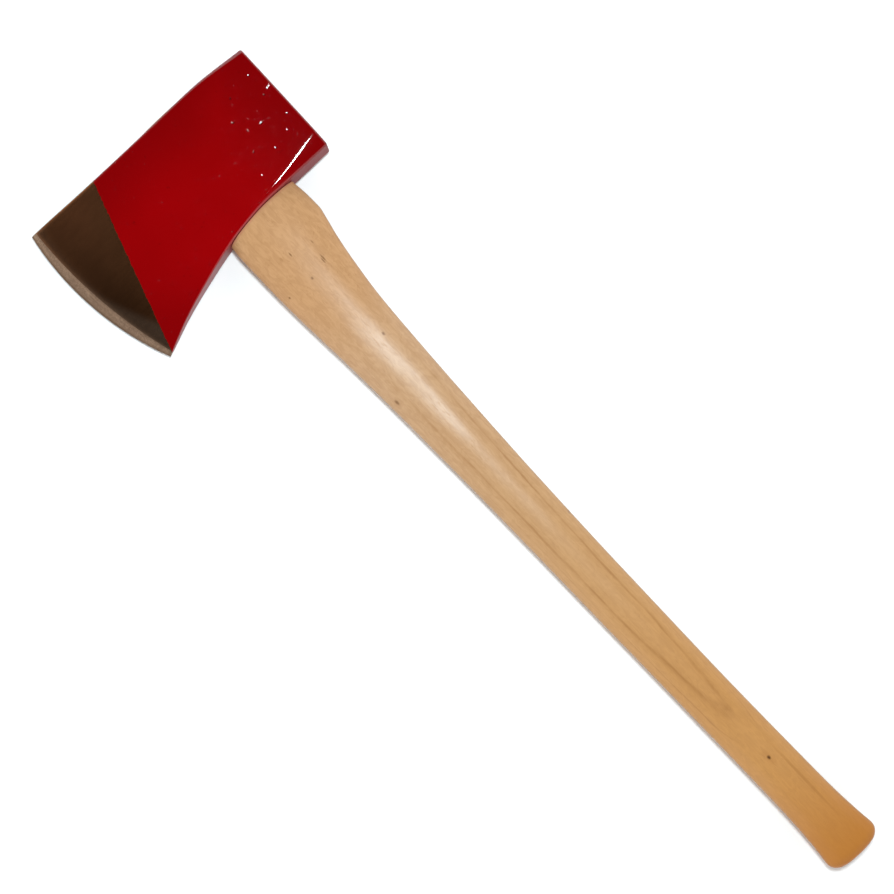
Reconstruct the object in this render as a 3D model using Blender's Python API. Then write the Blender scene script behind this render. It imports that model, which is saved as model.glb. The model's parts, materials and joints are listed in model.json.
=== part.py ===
"""A flat-head fire axe: a forged head hung on a straight hickory haft, with its three wedges.

The shape is worked out in the axe's own axes. x runs along the haft, from the crown of the head to the butt.
y runs from the cutting edge towards the poll.
z runs through the thickness, and z = 0 is the plane of symmetry.
Every piece hangs on one empty, which lays the axe on its side on the floor, as it comes to rest by itself.
"""

import math

import bmesh
import bpy
from mathutils import Matrix, Vector

MM = 0.001
FIT_GAP = 0.3 * MM  # between pieces that touch

# Head outline, in the plane of symmetry. Each point is (y, x).
CROWN_LINE = [(-0.1227, -0.0060), (-0.0700, -0.0032), (0.0, -0.0011), (0.0300, -0.0008), (0.0745, 0.0026)]
UNDERSIDE_LINE = [
    (-0.1098, 0.1225),
    (-0.0800, 0.1109),
    (-0.0520, 0.1026),
    (-0.0290, 0.0969),
    (-0.0125, 0.0941),
    (0.0150, 0.0920),
    (0.0745, 0.0924),
]
TOE = Vector((-0.0060, -0.1227))  # the edge's corner on the crown side, as (x, y)
HEEL = Vector((0.1225, -0.1098))  # the edge's corner on the haft side
EDGE_SAGITTA = 9.5 * MM  # how far the curved edge stands out from the toe-to-heel chord
POLL_Y = 74.2 * MM
POLL_LEAN = 0.0160  # the poll comes in by this much per metre towards the underside

# Head thickness.
EDGE_HALF = 0.3 * MM
GRIND_WIDTH = 7.7 * MM  # of the ground bevel, in the middle of the edge
GRIND_CORNER_WIDTH = 4.1 * MM  # and at the toe and the heel
GRIND_HALF_ANGLE = math.radians(22)
# Half the thickness of the cheeks, against the distance from the cutting edge.
CHEEK_HALF = [
    (0.0077, 0.0034),
    (0.0140, 0.0045),
    (0.0250, 0.0060),
    (0.0470, 0.0083),
    (0.0660, 0.0103),
    (0.0850, 0.0123),
    (0.1050, 0.0144),
    (0.1270, 0.0164),
    (0.1500, 0.0177),
    (0.1720, 0.0177),
    (0.2000, 0.0173),
]
# How much thinner a cheek is at its crown and underside lines than half-way, against the same distance.
CROWNING = [(0.0, 0.22), (0.030, 0.11), (0.110, 0.06), (0.200, 0.03)]
# The trimmed bevels along the crown and the underside: (y, width) and (y, drop).
CROWN_BEVEL_WIDTH = [(-0.120, 0.0005), (0.0, 0.0010), (0.035, 0.0016), (0.072, 0.0030)]
CROWN_BEVEL_DROP = [(-0.120, 0.0004), (0.0, 0.0010), (0.035, 0.0016), (0.072, 0.0030)]
UNDERSIDE_BEVEL_WIDTH = [(-0.108, 0.0006), (-0.010, 0.0014), (0.024, 0.0034), (0.072, 0.0117)]
UNDERSIDE_BEVEL_DROP = [(-0.108, 0.0004), (-0.010, 0.0010), (0.024, 0.0015), (0.072, 0.0031)]
POLL_BEVEL = 1.6 * MM
CHEEK_ROWS = 20
CHEEK_COLUMNS = 12

# The eye, an oval hole right through the head that opens out towards the crown.
EYE_Y = 5.6 * MM
EYE_HALF_LENGTH = (30.6 * MM, 29.4 * MM)  # at the crown, at the underside
EYE_HALF_WIDTH = (11.3 * MM, 9.7 * MM)
EYE_POWER = 2.3  # of its superellipse
EYE_SIDES = 48
EYE_OVERRUN = 40 * MM  # of the cutter past both faces

# The haft.
TONGUE_PROUD = 1.2 * MM  # of the crown
BUTT_X = 710.5 * MM  # 28 inches from the middle of the crown
SHOULDER_SETTLE = 26 * MM  # over which the sections turn square to the haft
# The haft's outline towards the poll and towards the edge, as (x, y).
HAFT_POLL_SIDE = [
    (0.094, 0.0377),
    (0.106, 0.0389),
    (0.118, 0.0392),
    (0.126, 0.0377),
    (0.142, 0.0341),
    (0.163, 0.0306),
    (0.195, 0.0268),
    (0.237, 0.0244),
    (0.279, 0.0226),
    (0.364, 0.0199),
    (0.449, 0.0186),
    (0.550, 0.0182),
    (0.618, 0.0189),
    (0.660, 0.0197),
    (0.682, 0.0209),
    (0.7035, 0.0231),
]
HAFT_EDGE_SIDE = [
    (0.094, -0.0259),
    (0.106, -0.0268),
    (0.140, -0.0267),
    (0.163, -0.0261),
    (0.216, -0.0234),
    (0.279, -0.0213),
    (0.364, -0.0197),
    (0.449, -0.0190),
    (0.550, -0.0182),
    (0.639, -0.0178),
    (0.660, -0.0180),
    (0.682, -0.0189),
    (0.7035, -0.0211),
]
HAFT_HALF_THICKNESS = [
    (0.094, 0.0136),
    (0.120, 0.0141),
    (0.163, 0.0134),
    (0.237, 0.0127),
    (0.364, 0.0123),
    (0.550, 0.0123),
    (0.640, 0.0128),
    (0.682, 0.0142),
    (0.7035, 0.0152),
]
HAFT_POWER = [(0.094, 2.5), (0.200, 2.35), (0.400, 2.2), (0.711, 2.25)]
HAFT_SIDES = 48
HAFT_STEP = 14 * MM
BUTT_ROUND = 9.6 * MM  # the radius that eases the butt's rim
BUTT_DOME = 1.5 * MM  # how far the butt's end bulges
BUTT_RINGS = 5

# The wedges, all driven in from the crown.
KERF_DEPTH = 66 * MM
KERF_FOOT = 1.6 * MM
WOOD_WEDGE_DEPTH = 59 * MM
WOOD_WEDGE_TOP = 6.6 * MM
WOOD_WEDGE_FOOT = 1.6 * MM
STEEL_WEDGE_DEPTH = 25 * MM
STEEL_WEDGE_WIDTH = 17 * MM
STEEL_WEDGE_TOP = 3.0 * MM
STEEL_WEDGE_FOOT = 0.9 * MM
STEEL_WEDGE_STEPS = 3  # the barbs that stop it from working loose
STEEL_WEDGE_BARB = 0.25 * MM
STEEL_WEDGE_PROUD = 0.3 * MM  # of the sawn wood
STEEL_WEDGE_SPACING = 27 * MM
STEEL_WEDGE_TURN = math.radians(32)  # each one crosses the wooden wedge at a slant
CUTTER_OVERRUN = 8 * MM

# How the axe lies: turned about the haft on to one cheek, and tipped so that the butt touches down.
LIE_ROLL = math.radians(5.262)
LIE_PITCH = math.radians(0.115)


def smooth(points, at):
    """The value at one place of a smooth curve through (place, value) points, straight beyond both ends."""
    places = [place for place, _ in points]
    values = [value for _, value in points]
    secants = [(v1 - v0) / (p1 - p0) for p0, p1, v0, v1 in zip(places, places[1:], values, values[1:])]
    slopes = [secants[0]]
    for before, after in zip(secants, secants[1:]):
        slopes.append(2 * before * after / (before + after) if before * after > 0 else 0.0)
    slopes.append(secants[-1])
    if at <= places[0]:
        return values[0] + slopes[0] * (at - places[0])
    if at >= places[-1]:
        return values[-1] + slopes[-1] * (at - places[-1])
    i = max(k for k, place in enumerate(places) if place <= at)
    span = places[i + 1] - places[i]
    t = (at - places[i]) / span
    from_left = values[i] * (1 + 2 * t) * (1 - t) ** 2 + slopes[i] * span * t * (1 - t) ** 2
    from_right = values[i + 1] * t * t * (3 - 2 * t) - slopes[i + 1] * span * t * t * (1 - t)
    return from_left + from_right


def held(points, at):
    """The same curve, held level beyond both ends."""
    return smooth(points, min(max(at, points[0][0]), points[-1][0]))


def mix(a, b, share):
    return a + (b - a) * share


# ---------------------------------------------------------------- the head's surface


def edge_circle():
    """(centre, radius) of the cutting edge's arc, through the toe and the heel."""
    chord = HEEL - TOE
    radius = ((chord.length / 2) ** 2 + EDGE_SAGITTA**2) / (2 * EDGE_SAGITTA)
    inward = Vector((-chord.y, chord.x)).normalized()
    return (TOE + HEEL) / 2 + inward * (radius - EDGE_SAGITTA), radius


EDGE_CENTRE, EDGE_RADIUS = edge_circle()


def edge_y(x):
    return EDGE_CENTRE.y - math.sqrt(EDGE_RADIUS**2 - (x - EDGE_CENTRE.x) ** 2)


def poll_y(x):
    return POLL_Y - POLL_LEAN * x


def head_place(across, row_y):
    """(x, y) on a row that is given as a function y(x), across of the way from the crown to the underside."""
    x, y = mix(TOE.x, HEEL.x, across), 0.0
    for _ in range(12):
        y = row_y(x)
        x = mix(smooth(CROWN_LINE, y), smooth(UNDERSIDE_LINE, y), across)
    return x, y


def grind_width(across):
    return mix(GRIND_WIDTH, GRIND_CORNER_WIDTH, (2 * across - 1) ** 2)


def section_columns(y):
    """How a row's columns share the way from crown to underside, with each one's place between bevels."""
    height = smooth(UNDERSIDE_LINE, y) - smooth(CROWN_LINE, y)
    first = held(CROWN_BEVEL_WIDTH, y) / height
    last = 1 - held(UNDERSIDE_BEVEL_WIDTH, y) / height
    between = [i / CHEEK_COLUMNS for i in range(CHEEK_COLUMNS + 1)]
    return [0.0] + [mix(first, last, share) for share in between] + [1.0], [0.0] + between + [1.0]


def cheek_half(share, from_edge):
    crowning = held(CROWNING, from_edge) * (2 * share - 1) ** 2
    return smooth(CHEEK_HALF, from_edge) * (1 - crowning)


def head_row(row_y, half_of):
    """One loop round the head: up the near cheek from crown to underside, and back along the far one."""
    typical_y = head_place(0.5, row_y)[1]
    columns, shares = section_columns(typical_y)
    near = []
    for i, (across, share) in enumerate(zip(columns, shares)):
        x, y = head_place(across, row_y)
        half = half_of(across, share, y - edge_y(x))
        if i == 0:
            half -= min(held(CROWN_BEVEL_DROP, y), 0.4 * half)
        if i == len(columns) - 1:
            half -= min(held(UNDERSIDE_BEVEL_DROP, y), 0.4 * half)
        near.append(Vector((x, y, half)))
    far = [Vector((p.x, p.y, -p.z)) for p in near]
    return near + far[::-1]


def head_rows():
    def grind(across, _share, from_edge):
        return EDGE_HALF + from_edge * math.tan(GRIND_HALF_ANGLE)

    def cheek(_across, share, from_edge):
        return cheek_half(share, from_edge)

    def struck_face(_across, share, from_edge):
        return cheek_half(share, from_edge) - POLL_BEVEL

    def shoulder_y(x):
        across = (x - TOE.x) / (HEEL.x - TOE.x)
        return edge_y(x) + grind_width(min(max(across, 0.0), 1.0))

    rows = [head_row(edge_y, lambda *_: EDGE_HALF), head_row(shoulder_y, grind)]
    for i in range(1, CHEEK_ROWS + 1):
        share = i / CHEEK_ROWS
        rows.append(head_row(lambda x, f=share: mix(shoulder_y(x), poll_y(x) - POLL_BEVEL, f), cheek))
    rows.append(head_row(poll_y, struck_face))
    return rows


# ---------------------------------------------------------------- solids


def oval(half_y, half_z, power, sides):
    """(y, z) points round a superellipse."""
    points = []
    for i in range(sides):
        angle = 2 * math.pi * i / sides
        c, s = math.cos(angle), math.sin(angle)
        y = math.copysign(abs(c) ** (2 / power), c) * half_y
        z = math.copysign(abs(s) ** (2 / power), s) * half_z
        points.append((y, z))
    return points


def finished(name, mesh, finish):
    """An object of that name on the axe's empty, smooth but for its hard edges."""
    bmesh.ops.recalc_face_normals(mesh, faces=mesh.faces)
    data = bpy.data.meshes.new(name)
    mesh.to_mesh(data)
    mesh.free()
    data.shade_smooth()
    data.set_sharp_from_angle(angle=math.radians(24))
    if finish:
        data.materials.append(finish)
    piece = bpy.data.objects.new(name, data)
    bpy.context.scene.collection.objects.link(piece)
    piece.parent = AXE_FRAME
    return piece


def cap_strip(mesh, ring):
    """Closes a loop whose two halves face each other with a strip of four-sided faces."""
    last = len(ring) - 1
    for i in range(len(ring) // 2 - 1):
        mesh.faces.new((ring[i], ring[i + 1], ring[last - i - 1], ring[last - i]))


def cap_plain(mesh, ring):
    mesh.faces.new(ring)


def loft(name, loops, finish, first_cap=cap_plain):
    """A closed solid whose skin runs through the loops in turn."""
    mesh = bmesh.new()
    rings = [[mesh.verts.new(point) for point in loop] for loop in loops]
    for ring, following in zip(rings, rings[1:]):
        for i in range(len(ring)):
            j = (i + 1) % len(ring)
            mesh.faces.new((ring[i], ring[j], following[j], following[i]))
    first_cap(mesh, rings[0])
    cap_plain(mesh, rings[-1])
    return finished(name, mesh, finish)


def cut(piece, cutters):
    """Takes the cutters out of a piece, which hides them."""
    for cutter in cutters:
        cutter.hide_render = True
        cutter.display_type = "WIRE"
        modifier = piece.modifiers.new("cut_" + cutter.name, "BOOLEAN")
        modifier.operation = "DIFFERENCE"
        modifier.solver = "EXACT"
        modifier.object = cutter


def paint(name, colour, roughness, metallic):
    material = bpy.data.materials.new(name)
    material.use_nodes = True
    shader = material.node_tree.nodes["Principled BSDF"]
    shader.inputs["Base Color"].default_value = (*colour, 1)
    shader.inputs["Roughness"].default_value = roughness
    shader.inputs["Metallic"].default_value = metallic
    return material


# ---------------------------------------------------------------- the five pieces


def eye_size(x):
    """(half length, half width) of the eye at x, which goes on widening past the crown."""
    share = x / smooth(UNDERSIDE_LINE, EYE_Y)
    return mix(*EYE_HALF_LENGTH, share), mix(*EYE_HALF_WIDTH, share)


def eye_loop(x_of, gap):
    """A loop round the eye's wall, gap inside it, where x is a function of y."""
    loop = []
    half_length, half_width = eye_size(x_of(EYE_Y))
    for y, z in oval(half_length - gap, half_width - gap, EYE_POWER, EYE_SIDES):
        loop.append(Vector((x_of(EYE_Y + y), EYE_Y + y, z)))
    return loop


def make_head(finish):
    head = loft("axe_head", head_rows(), finish, cap_strip)
    ends = (-EYE_OVERRUN, smooth(UNDERSIDE_LINE, EYE_Y) + EYE_OVERRUN)
    cutter = loft("eye_cutter", [eye_loop(lambda y, x=end: x, 0.0) for end in ends], None)
    cut(head, [cutter])
    return head


def haft_section(x):
    """(centre y, half height, half thickness, power) of the haft at x."""
    poll_side, edge_side = held(HAFT_POLL_SIDE, x), held(HAFT_EDGE_SIDE, x)
    half_thickness = held(HAFT_HALF_THICKNESS, x)
    return (poll_side + edge_side) / 2, (poll_side - edge_side) / 2, half_thickness, held(HAFT_POWER, x)


def shaft_loop(x, seat=None, inset=0.0):
    """A loop round the haft at x. With seat, each point lies along it as a function seat(y)."""
    centre, half_y, half_z, power = haft_section(x)
    loop = []
    for y, z in oval(half_y - inset, half_z - inset, power, HAFT_SIDES):
        loop.append(Vector((seat(centre + y) if seat else x, centre + y, z)))
    return loop


def haft_loops():
    """From the sawn top of the tongue, through the shoulder that bears on the head, to the butt."""

    def sawn_top(y):
        return smooth(CROWN_LINE, y) - TONGUE_PROUD

    def bearing(y):
        return smooth(UNDERSIDE_LINE, y) + FIT_GAP

    loops = [eye_loop(sawn_top, FIT_GAP)]
    for share in (0.2, 0.4, 0.6, 0.8, 1.0):
        loops.append(eye_loop(lambda y, s=share: mix(sawn_top(y), bearing(y), s), FIT_GAP))
    shoulder_x = bearing(EYE_Y)
    loops.append(shaft_loop(shoulder_x, bearing))
    x = shoulder_x
    while x < BUTT_X - BUTT_ROUND - 1.5 * HAFT_STEP:
        near_head = x < shoulder_x + SHOULDER_SETTLE
        x += HAFT_STEP / 2 if near_head else HAFT_STEP
        settled = min((x - shoulder_x) / SHOULDER_SETTLE, 1.0)
        moved = x - shoulder_x
        loops.append(shaft_loop(x, lambda y, x=x, w=settled, m=moved: mix(bearing(y) + m, x, w)))
    for i in range(BUTT_RINGS + 1):
        turn = math.pi / 2 * i / BUTT_RINGS
        inset = BUTT_ROUND * (1 - math.cos(turn))
        x = BUTT_X - BUTT_DOME - BUTT_ROUND * (1 - math.sin(turn))
        loops.append(shaft_loop(x, inset=inset))
    dome = shaft_loop(BUTT_X - BUTT_DOME, inset=BUTT_ROUND)
    centre = haft_section(BUTT_X)[0]
    for reach in (0.66, 0.33):
        x = BUTT_X - BUTT_DOME * reach**2
        loops.append([Vector((x, centre + (p.y - centre) * reach, p.z * reach)) for p in dome])
    return loops


def tapered_plate(name, top_x, depth, top, foot, half_reach, finish):
    """A plate tapered along x from top to foot thickness, with its ends at y = -half_reach and half_reach."""
    loops = []
    for y in (-half_reach, half_reach):
        corners = [(top_x, top / 2), (top_x + depth, foot / 2), (top_x + depth, -foot / 2), (top_x, -top / 2)]
        loops.append([Vector((x, y, z)) for x, z in corners])
    return loft(name, loops, finish)


def wood_top_x():
    return smooth(CROWN_LINE, EYE_Y) - TONGUE_PROUD


def make_kerf():
    """The saw cut in the tongue: the wooden wedge's shape with room round it, and a slot below its foot."""
    taper = (WOOD_WEDGE_TOP - WOOD_WEDGE_FOOT) / WOOD_WEDGE_DEPTH
    top_x = wood_top_x() - CUTTER_OVERRUN
    depth = WOOD_WEDGE_DEPTH + CUTTER_OVERRUN + FIT_GAP
    top = WOOD_WEDGE_TOP + taper * CUTTER_OVERRUN + 2 * FIT_GAP
    reach = EYE_HALF_LENGTH[0] + CUTTER_OVERRUN
    wide = tapered_plate("kerf_cutter", top_x, depth, top, WOOD_WEDGE_FOOT + 2 * FIT_GAP, reach, None)
    slot_depth = KERF_DEPTH + CUTTER_OVERRUN
    slot = tapered_plate("kerf_slot_cutter", top_x, slot_depth, KERF_FOOT, KERF_FOOT, reach, None)
    for cutter in (wide, slot):
        cutter.location.y = EYE_Y
    return [wide, slot]


def make_wood_wedge(finish):
    """It fills the kerf from end to end of the eye, and its top is sawn off level with the tongue."""
    half_y, half_z = eye_size(wood_top_x())
    chord = (1 - (WOOD_WEDGE_TOP / 2 / half_z) ** EYE_POWER) ** (1 / EYE_POWER)
    foot_half_y = eye_size(wood_top_x() + WOOD_WEDGE_DEPTH)[0]
    mesh = bmesh.new()
    ends = (
        (wood_top_x(), half_y * chord - FIT_GAP, WOOD_WEDGE_TOP / 2),
        (wood_top_x() + WOOD_WEDGE_DEPTH, foot_half_y - 2 * FIT_GAP, WOOD_WEDGE_FOOT / 2),
    )
    rings = []
    for x, reach, half in ends:
        corners = [(-reach, -half), (reach, -half), (reach, half), (-reach, half)]
        rings.append([mesh.verts.new((x, y, z)) for y, z in corners])
    for i in range(4):
        j = (i + 1) % 4
        mesh.faces.new((rings[0][i], rings[0][j], rings[1][j], rings[1][i]))
    for ring in rings:
        mesh.faces.new(ring)
    wedge = finished("wood_wedge", mesh, finish)
    wedge.location.y = EYE_Y
    return wedge


def barbed_outline(top_x):
    """(x, z) round a steel wedge's side: a taper broken into steps that catch in the wood."""
    right = []
    for i in range(STEEL_WEDGE_STEPS):
        upper, lower = i / STEEL_WEDGE_STEPS, (i + 1) / STEEL_WEDGE_STEPS
        step_top = mix(STEEL_WEDGE_TOP, STEEL_WEDGE_FOOT, upper) / 2
        step_foot = mix(STEEL_WEDGE_TOP, STEEL_WEDGE_FOOT, lower) / 2
        right.append((top_x + STEEL_WEDGE_DEPTH * upper, step_top - (STEEL_WEDGE_BARB if i else 0)))
        right.append((top_x + STEEL_WEDGE_DEPTH * lower, step_foot))
    return right + [(x, -z) for x, z in reversed(right)]


def make_steel_wedge(name, y, turn, finish):
    """(wedge, cutter): a barbed wedge at y, and the slot that it opens in the wood."""
    top_x = wood_top_x() - STEEL_WEDGE_PROUD
    half_width = STEEL_WEDGE_WIDTH / 2
    loops = [[Vector((x, end, z)) for x, z in barbed_outline(top_x)] for end in (-half_width, half_width)]
    wedge = loft(name, loops, finish)
    taper = (STEEL_WEDGE_TOP - STEEL_WEDGE_FOOT) / STEEL_WEDGE_DEPTH
    cutter = tapered_plate(
        name + "_slot_cutter",
        top_x - CUTTER_OVERRUN,
        STEEL_WEDGE_DEPTH + CUTTER_OVERRUN + FIT_GAP,
        STEEL_WEDGE_TOP + taper * CUTTER_OVERRUN + 2 * FIT_GAP,
        STEEL_WEDGE_FOOT + 2 * FIT_GAP,
        half_width + FIT_GAP,
        None,
    )
    for piece in (wedge, cutter):
        piece.rotation_euler.x = turn
        piece.location.y = y
    return wedge, cutter


def lay_down():
    """Turns the axe on to its side and sets it on the floor, with the middle of its box over the origin."""
    AXE_FRAME.rotation_euler = (LIE_ROLL, LIE_PITCH, 0)
    bpy.context.view_layer.update()
    graph = bpy.context.evaluated_depsgraph_get()
    corners = []
    for piece in AXE_FRAME.children:
        if not piece.hide_render:
            evaluated = piece.evaluated_get(graph)
            corners += [evaluated.matrix_world @ vertex.co for vertex in evaluated.data.vertices]
    lows = [min(corner[axis] for corner in corners) for axis in range(3)]
    highs = [max(corner[axis] for corner in corners) for axis in range(3)]
    AXE_FRAME.location = (-(lows[0] + highs[0]) / 2, -(lows[1] + highs[1]) / 2, -lows[2])


def main():
    red_paint = paint("red_paint", (0.27, 0.0015, 0.002), 0.18, 0.0)
    hickory = paint("hickory", (0.60, 0.36, 0.17), 0.42, 0.0)
    wedge_wood = paint("wedge_wood", (0.50, 0.33, 0.16), 0.55, 0.0)
    wedge_steel = paint("wedge_steel", (0.42, 0.40, 0.38), 0.35, 1.0)

    make_head(red_paint)
    haft = loft("haft", haft_loops(), hickory)
    wooden = make_wood_wedge(wedge_wood)
    turn = math.pi / 2 - STEEL_WEDGE_TURN
    offset = STEEL_WEDGE_SPACING / 2
    fore = make_steel_wedge("steel_wedge_fore", EYE_Y - offset, turn, wedge_steel)
    aft = make_steel_wedge("steel_wedge_aft", EYE_Y + offset, turn, wedge_steel)
    slots = [fore[1], aft[1]]
    cut(haft, make_kerf() + slots)
    cut(wooden, slots)
    lay_down()


for leftover in list(bpy.data.objects):
    bpy.data.objects.remove(leftover)
AXE_FRAME = bpy.data.objects.new("axe_frame", None)
bpy.context.scene.collection.objects.link(AXE_FRAME)
main()
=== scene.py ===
"""The fire axe's looks: a painted forging with a bare ground bit, on a varnished haft, with its wedges.

Everything is modelled in the axe's own axes, like the CAD. x runs along the haft, from the crown to the
butt, y from the cutting edge towards the poll, and z through the thickness, with z = 0 half-way.
"""

import json
import math

import bmesh
import bpy
from mathutils import Euler, Matrix, Vector, noise


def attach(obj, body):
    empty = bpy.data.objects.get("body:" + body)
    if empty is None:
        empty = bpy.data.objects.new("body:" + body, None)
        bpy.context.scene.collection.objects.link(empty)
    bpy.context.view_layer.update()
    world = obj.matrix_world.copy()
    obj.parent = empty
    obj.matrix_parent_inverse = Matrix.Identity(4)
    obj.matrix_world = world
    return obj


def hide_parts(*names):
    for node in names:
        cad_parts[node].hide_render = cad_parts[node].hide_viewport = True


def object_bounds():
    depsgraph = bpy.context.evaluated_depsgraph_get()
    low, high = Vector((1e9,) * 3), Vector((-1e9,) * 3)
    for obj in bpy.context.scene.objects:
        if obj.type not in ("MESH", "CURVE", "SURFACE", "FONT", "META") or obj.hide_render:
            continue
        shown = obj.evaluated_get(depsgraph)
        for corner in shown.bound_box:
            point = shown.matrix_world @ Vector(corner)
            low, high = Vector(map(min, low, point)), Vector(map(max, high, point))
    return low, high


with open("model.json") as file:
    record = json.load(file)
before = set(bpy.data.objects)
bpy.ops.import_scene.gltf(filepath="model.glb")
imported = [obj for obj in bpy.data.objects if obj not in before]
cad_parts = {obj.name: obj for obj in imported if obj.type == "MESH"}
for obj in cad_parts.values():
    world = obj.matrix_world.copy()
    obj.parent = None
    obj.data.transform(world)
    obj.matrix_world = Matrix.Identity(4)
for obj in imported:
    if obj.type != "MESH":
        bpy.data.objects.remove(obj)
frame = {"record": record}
CAD_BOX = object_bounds()

MM = 0.001
FIT_GAP = 0.3 * MM
SHARP_ANGLE = math.radians(38)  # a steeper edge than this isn't shaded smooth

# The head's outline in the plane of symmetry, as (y, x), its cutting edge and its poll: as the CAD has them.
CROWN_LINE = [(-0.1227, -0.0060), (-0.0700, -0.0032), (0.0, -0.0011), (0.0300, -0.0008), (0.0745, 0.0026)]
UNDERSIDE_LINE = [
    (-0.1098, 0.1225),
    (-0.0800, 0.1109),
    (-0.0520, 0.1026),
    (-0.0290, 0.0969),
    (-0.0125, 0.0941),
    (0.0150, 0.0920),
    (0.0745, 0.0924),
]
TOE = Vector((-0.0060, -0.1227))
HEEL = Vector((0.1225, -0.1098))
EDGE_SAGITTA = 9.5 * MM
POLL_Y = 74.2 * MM
POLL_LEAN = 0.0160
POLL_MOUNT_X = 47 * MM  # the record's poll mount is here on the poll's face

# The head's half thickness and its crowning, by distance from the edge, and its outline's bevels, by y.
EDGE_HALF = 0.12 * MM
GRIND_WIDTH = 7.7 * MM
GRIND_CORNER_WIDTH = 4.1 * MM
CHEEK_HALF = [
    (0.0077, 0.0034),
    (0.0140, 0.0045),
    (0.0250, 0.0060),
    (0.0470, 0.0083),
    (0.0660, 0.0103),
    (0.0850, 0.0123),
    (0.1050, 0.0144),
    (0.1270, 0.0164),
    (0.1500, 0.0177),
    (0.1720, 0.0177),
    (0.2000, 0.0173),
]
CROWNING = [(0.0, 0.22), (0.030, 0.11), (0.110, 0.06), (0.200, 0.03)]
CROWN_BEVEL_WIDTH = [(-0.120, 0.0005), (0.0, 0.0010), (0.035, 0.0016), (0.072, 0.0030)]
CROWN_BEVEL_DROP = [(-0.120, 0.0004), (0.0, 0.0010), (0.035, 0.0016), (0.072, 0.0030)]
UNDERSIDE_BEVEL_WIDTH = [(-0.108, 0.0006), (-0.010, 0.0014), (0.024, 0.0034), (0.072, 0.0117)]
UNDERSIDE_BEVEL_DROP = [(-0.108, 0.0004), (-0.010, 0.0010), (0.024, 0.0015), (0.072, 0.0031)]

# What the forging has beyond the CAD: softened edges, waved cheeks, knocks, and blobs in the paint.
RIM_ROUND = 1.1 * MM
POLL_ROUND = 1.7 * MM
CREASE_BLEND = 0.45 * MM  # how gradually one facet turns into the next
GRIND_BLEND = 0.60 * MM
FORGED_WAVE = 0.08 * MM
FORGED_WAVES_PER_METRE = 34
FORGED_WAVE_FADE = 8 * MM  # from the rims and from the poll
FORGED_WAVE_RISE = (-0.09, 0.03)  # the y where it starts, and how far on it is full
HEAD_ROWS = 112  # from the ground bevel to the poll
POLL_ROUND_STEPS = 5
PAINT_LINE = (Vector((-0.0028, -0.0640)), Vector((0.1195, -0.1063)))  # red paint stops here
# Scattered knocks in the upper cheek by the poll, as (x, y, half length, half width, turn in degrees, depth).
NICKS = [
    (0.0206, 0.0655, 0.0011, 0.0006, 74, 0.00021),
    (0.0378, 0.0640, 0.0009, 0.0006, 20, 0.00019),
    (0.0236, 0.0452, 0.0010, 0.0006, 131, 0.00018),
    (0.0581, 0.0668, 0.0008, 0.0005, 84, 0.00015),
    (0.0507, 0.0489, 0.0014, 0.0006, 104, 0.00023),
    (0.0702, 0.0447, 0.0009, 0.0006, 38, 0.00017),
    (0.0372, 0.0349, 0.0012, 0.0006, 63, 0.00020),
    (0.0618, 0.0312, 0.0008, 0.0005, 150, 0.00014),
]
# Blobs in the paint, as (x, y, radius, height).
BLOBS = [
    (0.0121, 0.0609, 0.0007, 0.00015),
    (0.0190, 0.0528, 0.0007, 0.00013),
    (0.0420, 0.0526, 0.0007, 0.00015),
    (0.0420, 0.0443, 0.0008, 0.00018),
    (0.0475, 0.0386, 0.0008, 0.00018),
    (0.0655, 0.0591, 0.0008, 0.00017),
    (0.0343, 0.0262, 0.0007, 0.00014),
    (0.0766, 0.0242, 0.0008, 0.00017),
    (0.0878, 0.0235, 0.0009, 0.00022),
    (0.0308, -0.0343, 0.0007, 0.00014),
    (0.0640, -0.0400, 0.0007, 0.00013),
    (0.0347, 0.0690, 0.0010, 0.00030),
    (0.0343, 0.0712, 0.0010, 0.00034),
]
# Round a knock or a blob the mesh is finer, for this many of its radii and a margin more.
SPOT_REACH = 2.6
SPOT_MARGIN = 1.2 * MM

# The eye.
EYE_Y = 5.6 * MM
EYE_HALF_LENGTH = (30.6 * MM, 29.4 * MM)
EYE_HALF_WIDTH = (11.3 * MM, 9.7 * MM)
EYE_POWER = 2.3
EYE_SIDES = 96
EYE_LIP = 0.5 * MM  # by which its rim is eased
EYE_OVERRUN = 20 * MM

# The haft. Its lists go by x.
TONGUE_PROUD = 1.2 * MM
TONGUE_EASE = 0.5 * MM  # of its sawn end's rim
TONGUE_STEPS = 12
BUTT_X = 710.5 * MM
SHOULDER_SETTLE = 26 * MM
HAFT_POLL_SIDE = [
    (0.094, 0.0377),
    (0.106, 0.0389),
    (0.118, 0.0392),
    (0.126, 0.0377),
    (0.142, 0.0341),
    (0.163, 0.0306),
    (0.195, 0.0268),
    (0.237, 0.0244),
    (0.279, 0.0226),
    (0.364, 0.0199),
    (0.449, 0.0186),
    (0.550, 0.0182),
    (0.618, 0.0189),
    (0.660, 0.0197),
    (0.682, 0.0209),
    (0.7035, 0.0231),
]
HAFT_EDGE_SIDE = [
    (0.094, -0.0259),
    (0.106, -0.0268),
    (0.140, -0.0267),
    (0.163, -0.0261),
    (0.216, -0.0234),
    (0.279, -0.0213),
    (0.364, -0.0197),
    (0.449, -0.0190),
    (0.550, -0.0182),
    (0.639, -0.0178),
    (0.660, -0.0180),
    (0.682, -0.0189),
    (0.7035, -0.0211),
]
HAFT_HALF_THICKNESS = [
    (0.094, 0.0136),
    (0.120, 0.0141),
    (0.163, 0.0134),
    (0.237, 0.0127),
    (0.364, 0.0123),
    (0.550, 0.0123),
    (0.640, 0.0128),
    (0.682, 0.0142),
    (0.7035, 0.0152),
]
HAFT_POWER = [(0.094, 2.5), (0.200, 2.35), (0.400, 2.2), (0.711, 2.25)]
HAFT_SIDES = 112
BUTT_ROUND = 9.6 * MM
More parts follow.
